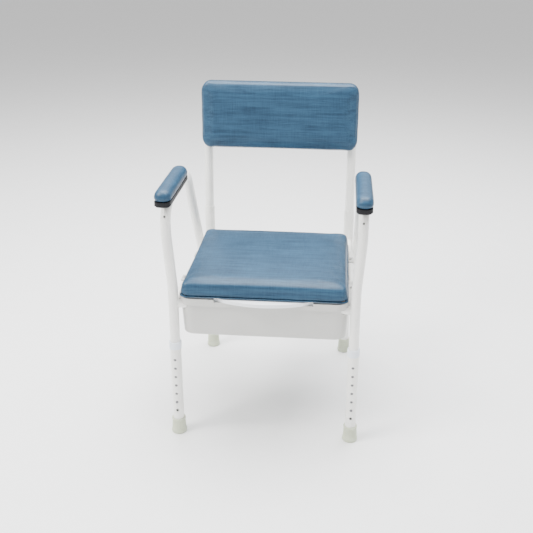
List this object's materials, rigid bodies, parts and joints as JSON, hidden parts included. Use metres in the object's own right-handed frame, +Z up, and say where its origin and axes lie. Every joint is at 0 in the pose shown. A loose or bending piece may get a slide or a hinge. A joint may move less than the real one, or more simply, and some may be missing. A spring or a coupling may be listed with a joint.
{
  "type": "commode chair",
  "caption": "Height-adjustable commode chair with a bent tube frame, hinged padded seat lid, toilet seat, apron, sliding pan, arm pads and padded backrest.",
  "frame": {"origin": "on the floor, under the middle of the chair's bounding box", "axes": "+Z up; the chair faces -Y; +X is to the right as seen from the front"},
  "size_m": [0.522, 0.5356, 0.8626],
  "materials": {
    "powder_coat": "satin cream-white powder coat",
    "black_plastic": "matt moulded",
    "blue_vinyl": "linen-grain upholstery vinyl, soft sheen",
    "zinc_steel": "zinc plated",
    "dark_steel": "blackened",
    "cream_plastic": "semi-gloss moulded",
    "white_plastic": "gloss moulded",
    "pan_plastic": "satin moulded",
    "plywood": "bare plywood",
    "black_rubber": "matt",
    "collar_plastic": "satin moulded bush",
    "tip_rubber": "translucent ribbed rubber"
  },
  "bodies": {
    "frame": {"left_side_tube": "powder_coat", "left_rear_tube": "powder_coat", "left_backrest_sleeve": "powder_coat", "left_seat_rail": "powder_coat", "left_pan_runner": "powder_coat", "left_hinge_bracket": "powder_coat", "left_arm_base": "black_plastic", "left_arm_pad": "blue_vinyl", "right_side_tube": "powder_coat", "right_rear_tube": "powder_coat", "right_backrest_sleeve": "powder_coat", "right_seat_rail": "powder_coat", "right_pan_runner": "powder_coat", "right_hinge_bracket": "powder_coat", "right_arm_base": "black_plastic", "right_arm_pad": "blue_vinyl", "front_seat_rail": "powder_coat", "rear_seat_rail": "powder_coat", "hinge_rail": "powder_coat", "backrest_tube": "powder_coat", "arm_pad_screws": "zinc_steel", "apron_screws": "zinc_steel", "lid_hinge_pins": "zinc_steel", "back_screws": "zinc_steel", "backrest_bolts": "dark_steel", "apron": "cream_plastic", "toilet_seat": "white_plastic", "toilet_seat_studs": "white_plastic", "back_board": "plywood", "back_cushion": "blue_vinyl"},
    "lid": {"seat_board": "plywood", "seat_cushion": "blue_vinyl", "left_hinge_leaf": "zinc_steel", "right_hinge_leaf": "zinc_steel", "lid_screws": "zinc_steel", "lid_buffers": "black_rubber"},
    "pan": {"pan": "pan_plastic"},
    "front_left_leg_assembly": {"front_left_leg": "powder_coat", "front_left_collar": "collar_plastic", "front_left_tip": "tip_rubber"},
    "front_left_snap_button": {"front_left_button": "dark_steel", "front_left_button_spring": "zinc_steel"},
    "front_right_leg_assembly": {"front_right_leg": "powder_coat", "front_right_collar": "collar_plastic", "front_right_tip": "tip_rubber"},
    "front_right_snap_button": {"front_right_button": "dark_steel", "front_right_button_spring": "zinc_steel"},
    "rear_left_leg_assembly": {"rear_left_leg": "powder_coat", "rear_left_collar": "collar_plastic", "rear_left_tip": "tip_rubber"},
    "rear_left_snap_button": {"rear_left_button": "dark_steel", "rear_left_button_spring": "zinc_steel"},
    "rear_right_leg_assembly": {"rear_right_leg": "powder_coat", "rear_right_collar": "collar_plastic", "rear_right_tip": "tip_rubber"},
    "rear_right_snap_button": {"rear_right_button": "dark_steel", "rear_right_button_spring": "zinc_steel"}
  },
  "joints": [
    {"name": "lid_hinge", "type": "hinge", "parent": "frame", "child": "lid", "pos_m": [0, 0.14922, 0.411], "axis": [-1, 0, 0], "range_deg": [0, 90.5]},
    {"name": "pan_slide", "type": "slide", "parent": "frame", "child": "pan", "axis": [0, 1, 0], "range_m": [0, 0.36]},
    {"name": "front_left_leg_slide", "type": "slide", "parent": "frame", "child": "front_left_leg_assembly", "axis": [0, 0, -1], "range_m": [-0.0254, 0.127]},
    {"name": "front_left_button_press", "type": "slide", "parent": "frame", "child": "front_left_snap_button", "axis": [0, 1, 0], "range_m": [0, 0.0045], "stiffness_N_per_m": 300, "springref_m": -0.002},
    {"name": "front_right_leg_slide", "type": "slide", "parent": "frame", "child": "front_right_leg_assembly", "axis": [0, 0, -1], "range_m": [-0.0254, 0.127]},
    {"name": "front_right_button_press", "type": "slide", "parent": "frame", "child": "front_right_snap_button", "axis": [0, 1, 0], "range_m": [0, 0.0045], "stiffness_N_per_m": 300, "springref_m": -0.002},
    {"name": "rear_left_leg_slide", "type": "slide", "parent": "frame", "child": "rear_left_leg_assembly", "axis": [0, 0, -1], "range_m": [-0.0254, 0.127]},
    {"name": "rear_left_button_press", "type": "slide", "parent": "frame", "child": "rear_left_snap_button", "axis": [0, -1, 0], "range_m": [0, 0.0045], "stiffness_N_per_m": 300, "springref_m": -0.002},
    {"name": "rear_right_leg_slide", "type": "slide", "parent": "frame", "child": "rear_right_leg_assembly", "axis": [0, 0, -1], "range_m": [-0.0254, 0.127]},
    {"name": "rear_right_button_press", "type": "slide", "parent": "frame", "child": "rear_right_snap_button", "axis": [0, -1, 0], "range_m": [0, 0.0045], "stiffness_N_per_m": 300, "springref_m": -0.002}
  ]
}
